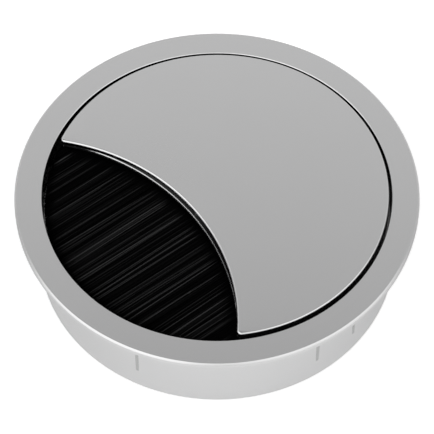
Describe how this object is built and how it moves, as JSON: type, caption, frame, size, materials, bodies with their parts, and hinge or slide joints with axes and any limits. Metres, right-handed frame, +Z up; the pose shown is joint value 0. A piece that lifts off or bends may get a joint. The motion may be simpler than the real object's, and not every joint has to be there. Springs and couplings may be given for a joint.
{
  "type": "desk cable grommet",
  "caption": "Round satin metal desk grommet: a flanged ring with a drop-in cover, and a strip brush that closes the cover's curved cable opening.",
  "frame": {"origin": "centre of the desk hole, on the desk's surface, which is the plane of the flange's underside", "axes": "+Z points up out of the desk, and -Y is the side where the cable opening is"},
  "size_m": [0.088, 0.088, 0.0216],
  "materials": {
    "satin_zinc": "fine satin silver plating on a zinc casting",
    "channel_steel": "rolled strip",
    "wire_steel": "drawn wire",
    "black_nylon": "drawn filament with a soft sheen",
    "screw_steel": "bright zinc plated"
  },
  "bodies": {
    "root": {"ring": "satin_zinc", "cover": "satin_zinc", "brush_channel": "channel_steel", "brush_core_wire": "wire_steel", "bristles": "black_nylon", "brush_screws": "screw_steel"}
  },
  "joints": []
}
